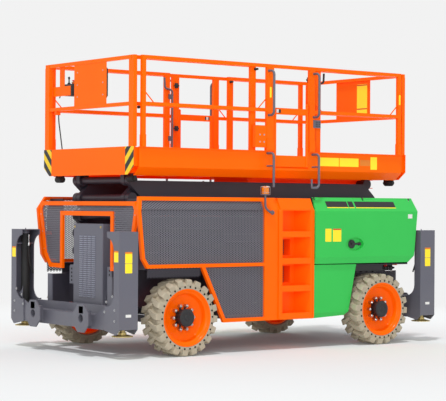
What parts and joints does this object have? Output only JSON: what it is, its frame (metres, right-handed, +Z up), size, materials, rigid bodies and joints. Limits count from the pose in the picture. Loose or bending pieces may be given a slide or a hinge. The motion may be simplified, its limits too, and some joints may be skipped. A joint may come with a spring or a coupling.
{
  "type": "rough-terrain scissor lift with outriggers",
  "caption": "Rough-terrain scissor lift with outriggers, scissor stack, side guards, hinged hoods and a railed platform with sliding decks.",
  "frame": {"origin": "on the floor under the middle of the machine's box, wheels resting on z = 0", "axes": "+X along the machine from the steered axle to the fixed axle, +Y to the far side, +Z up"},
  "size_m": [4.78, 2.28, 3.25],
  "materials": {
    "orange_paint": "satin",
    "green_paint": "satin",
    "grey_paint": "satin",
    "dark_paint": "satin",
    "chrome": "polished",
    "zinc": "satin",
    "rubber": "matte",
    "black_rubber": "matte",
    "dark_plastic": "satin",
    "amber_plastic": "gloss",
    "cable_sheath": "satin"
  },
  "bodies": {
    "chassis": {"chassis_frame": "dark_paint", "side_compartments": "dark_paint", "power_units": "dark_plastic", "guards": "orange_paint", "guard_screens": "dark_paint", "ladders": "orange_paint", "lower_covers": "green_paint", "louvred_cabinet": "grey_paint", "beacon": "amber_plastic", "outrigger_beam_front": "grey_paint", "outrigger_beam_rear": "grey_paint", "outrigger_legs_front": "grey_paint", "outrigger_legs_rear": "grey_paint", "front_axle": "dark_paint", "rear_axle": "dark_paint"},
    "hood_near": {"hood_near": "green_paint"},
    "hood_far": {"hood_far": "green_paint"},
    "knuckle_near": {"knuckle_near": "dark_paint"},
    "knuckle_far": {"knuckle_far": "dark_paint"},
    "steering_rod": {"steering_rod": "chrome"},
    "platform": {"platform_deck": "orange_paint", "bumpers": "black_rubber", "platform_rails": "orange_paint", "grab_handles": "grey_paint"},
    "slide_front": {"slide_deck_front": "orange_paint", "slide_rails_front": "orange_paint", "push_handle_front": "grey_paint", "control_box": "dark_plastic", "control_cable": "cable_sheath"},
    "slide_rear": {"slide_deck_rear": "orange_paint", "slide_rails_rear": "orange_paint", "push_handle_rear": "dark_plastic"},
    "gate_near": {"gate_near": "orange_paint"},
    "gate_far": {"gate_far": "orange_paint"},
    "inner_arm_1": {"inner_arm_1": "dark_paint"},
    "outer_arm_1": {"outer_arm_1": "dark_paint"},
    "inner_arm_2": {"inner_arm_2": "dark_paint"},
    "outer_arm_2": {"outer_arm_2": "dark_paint"},
    "inner_arm_3": {"inner_arm_3": "dark_paint"},
    "outer_arm_3": {"outer_arm_3": "dark_paint"},
    "inner_arm_4": {"inner_arm_4": "dark_paint"},
    "outer_arm_4": {"outer_arm_4": "dark_paint"},
    "inner_arm_5": {"inner_arm_5": "dark_paint"},
    "outer_arm_5": {"outer_arm_5": "dark_paint"},
    "lift_barrel_1": {"lift_barrel_1": "dark_paint"},
    "lift_rod_1": {"lift_rod_1": "chrome"},
    "lift_barrel_2": {"lift_barrel_2": "dark_paint"},
    "lift_rod_2": {"lift_rod_2": "chrome"},
    "wheel_front_near": {"tyre_front_near": "rubber", "rim_front_near": "orange_paint"},
    "jack_foot_front_near": {"jack_foot_front_near": "zinc"},
    "wheel_front_far": {"tyre_front_far": "rubber", "rim_front_far": "orange_paint"},
    "jack_foot_front_far": {"jack_foot_front_far": "zinc"},
    "wheel_rear_near": {"tyre_rear_near": "rubber", "rim_rear_near": "orange_paint"},
    "jack_foot_rear_near": {"jack_foot_rear_near": "zinc"},
    "wheel_rear_far": {"tyre_rear_far": "rubber", "rim_rear_far": "orange_paint"},
    "jack_foot_rear_far": {"jack_foot_rear_far": "zinc"}
  },
  "joints": [
    {"name": "lift", "type": "hinge", "parent": "chassis", "child": "inner_arm_1", "pos_m": [-1.77, 0, 0.912], "axis": [0, -1, 0], "range_deg": [0, 54]},
    {"name": "centre_pivot_1", "type": "hinge", "parent": "inner_arm_1", "child": "outer_arm_1", "pos_m": [0, 0, 1.012], "axis": [0, -1, 0], "range_deg": [-108, 0]},
    {"name": "inner_pivot_2", "type": "hinge", "parent": "outer_arm_1", "child": "inner_arm_2", "pos_m": [-1.77, 0, 1.112], "axis": [0, -1, 0], "range_deg": [0, 108]},
    {"name": "centre_pivot_2", "type": "hinge", "parent": "inner_arm_2", "child": "outer_arm_2", "pos_m": [0, 0, 1.212], "axis": [0, -1, 0], "range_deg": [-108, 0]},
    {"name": "inner_pivot_3", "type": "hinge", "parent": "outer_arm_2", "child": "inner_arm_3", "pos_m": [-1.77, 0, 1.312], "axis": [0, -1, 0], "range_deg": [0, 108]},
    {"name": "centre_pivot_3", "type": "hinge", "parent": "inner_arm_3", "child": "outer_arm_3", "pos_m": [0, 0, 1.412], "axis": [0, -1, 0], "range_deg": [-108, 0]},
    {"name": "inner_pivot_4", "type": "hinge", "parent": "outer_arm_3", "child": "inner_arm_4", "pos_m": [-1.77, 0, 1.512], "axis": [0, -1, 0], "range_deg": [0, 108]},
    {"name": "centre_pivot_4", "type": "hinge", "parent": "inner_arm_4", "child": "outer_arm_4", "pos_m": [0, 0, 1.612], "axis": [0, -1, 0], "range_deg": [-108, 0]},
    {"name": "inner_pivot_5", "type": "hinge", "parent": "outer_arm_4", "child": "inner_arm_5", "pos_m": [-1.77, 0, 1.712], "axis": [0, -1, 0], "range_deg": [0, 108]},
    {"name": "centre_pivot_5", "type": "hinge", "parent": "inner_arm_5", "child": "outer_arm_5", "pos_m": [0, 0, 1.812], "axis": [0, -1, 0], "range_deg": [-108, 0]},
    {"name": "platform_pivot", "type": "hinge", "parent": "outer_arm_5", "child": "platform", "pos_m": [-1.77, 0, 1.912], "axis": [0, -1, 0], "range_deg": [0, 54]},
    {"name": "barrel_pivot_1", "type": "hinge", "parent": "inner_arm_1", "child": "lift_barrel_1", "pos_m": [-0.47207, 0, 0.98533], "axis": [0, -1, 0], "range_deg": [0, 6.5]},
    {"name": "rod_slide_1", "type": "slide", "parent": "lift_barrel_1", "child": "lift_rod_1", "axis": [0.997, 0, 0.0768], "range_m": [0, 0.508]},
    {"name": "barrel_pivot_2", "type": "hinge", "parent": "inner_arm_3", "child": "lift_barrel_2", "pos_m": [-0.47207, 0, 1.38533], "axis": [0, -1, 0], "range_deg": [0, 6.5]},
    {"name": "rod_slide_2", "type": "slide", "parent": "lift_barrel_2", "child": "lift_rod_2", "axis": [0.997, 0, 0.0768], "range_m": [0, 0.508]},
    {"name": "slide_front", "type": "slide", "parent": "platform", "child": "slide_front", "axis": [-1, 0, 0], "range_m": [0, 1.2]},
    {"name": "slide_rear", "type": "slide", "parent": "platform", "child": "slide_rear", "axis": [1, 0, 0], "range_m": [0, 0.9]},
    {"name": "gate_near", "type": "hinge", "parent": "platform", "child": "gate_near", "pos_m": [0.424, -0.925, 2.4], "axis": [0, 0, -1], "range_deg": [0, 90]},
    {"name": "gate_far", "type": "hinge", "parent": "platform", "child": "gate_far", "pos_m": [-0.064, 0.925, 2.4], "axis": [0, 0, -1], "range_deg": [0, 90]},
    {"name": "hood_near", "type": "hinge", "parent": "chassis", "child": "hood_near", "pos_m": [1.2, -0.978, 1.722], "axis": [-1, 0, 0], "range_deg": [0, 75]},
    {"name": "hood_far", "type": "hinge", "parent": "chassis", "child": "hood_far", "pos_m": [1.2, 0.978, 1.722], "axis": [1, 0, 0], "range_deg": [0, 75]},
    {"name": "steer_near", "type": "hinge", "parent": "chassis", "child": "knuckle_near", "pos_m": [-1.43, -0.88, 0.419], "axis": [0, 0, 1], "range_deg": [-25, 25]},
    {"name": "steer_far", "type": "hinge", "parent": "chassis", "child": "knuckle_far", "pos_m": [-1.43, 0.88, 0.419], "axis": [0, 0, 1], "range_deg": [-25, 25]},
    {"name": "steering_slide", "type": "slide", "parent": "chassis", "child": "steering_rod", "axis": [0, 1, 0], "range_m": [-0.064, 0.064]},
    {"name": "roll_front_near", "type": "hinge", "parent": "knuckle_near", "child": "wheel_front_near", "pos_m": [-1.43, -0.9875, 0.419], "axis": [0, 1, 0], "continuous": true},
    {"name": "jack_front_near", "type": "slide", "parent": "chassis", "child": "jack_foot_front_near", "axis": [0, 0, -1], "range_m": [0, 0.4]},
    {"name": "roll_front_far", "type": "hinge", "parent": "knuckle_far", "child": "wheel_front_far", "pos_m": [-1.43, 0.9875, 0.419], "axis": [0, 1, 0], "continuous": true},
    {"name": "jack_front_far", "type": "slide", "parent": "chassis", "child": "jack_foot_front_far", "axis": [0, 0, -1], "range_m": [0, 0.4]},
    {"name": "roll_rear_near", "type": "hinge", "parent": "chassis", "child": "wheel_rear_near", "pos_m": [1.43, -0.9875, 0.419], "axis": [0, 1, 0], "continuous": true},
    {"name": "jack_rear_near", "type": "slide", "parent": "chassis", "child": "jack_foot_rear_near", "axis": [0, 0, -1], "range_m": [0, 0.4]},
    {"name": "roll_rear_far", "type": "hinge", "parent": "chassis", "child": "wheel_rear_far", "pos_m": [1.43, 0.9875, 0.419], "axis": [0, 1, 0], "continuous": true},
    {"name": "jack_rear_far", "type": "slide", "parent": "chassis", "child": "jack_foot_rear_far", "axis": [0, 0, -1], "range_m": [0, 0.4]}
  ],
  "couplings": [
    {"joint": "centre_pivot_1", "follows": "lift", "ratio": -2},
    {"joint": "inner_pivot_2", "follows": "lift", "ratio": 2},
    {"joint": "centre_pivot_2", "follows": "lift", "ratio": -2},
    {"joint": "inner_pivot_3", "follows": "lift", "ratio": 2},
    {"joint": "centre_pivot_3", "follows": "lift", "ratio": -2},
    {"joint": "inner_pivot_4", "follows": "lift", "ratio": 2},
    {"joint": "centre_pivot_4", "follows": "lift", "ratio": -2},
    {"joint": "inner_pivot_5", "follows": "lift", "ratio": 2},
    {"joint": "centre_pivot_5", "follows": "lift", "ratio": -2},
    {"joint": "platform_pivot", "follows": "lift", "ratio": 1},
    {"joint": "barrel_pivot_1", "follows": "lift", "ratio": 0.11728},
    {"joint": "rod_slide_1", "follows": "lift", "m_per_rad": 0.53805},
    {"joint": "barrel_pivot_2", "follows": "lift", "ratio": 0.11728},
    {"joint": "rod_slide_2", "follows": "lift", "m_per_rad": 0.53805},
    {"joint": "steer_far", "follows": "steer_near", "ratio": 1},
    {"joint": "steering_slide", "follows": "steer_near", "m_per_rad": -0.14528}
  ]
}
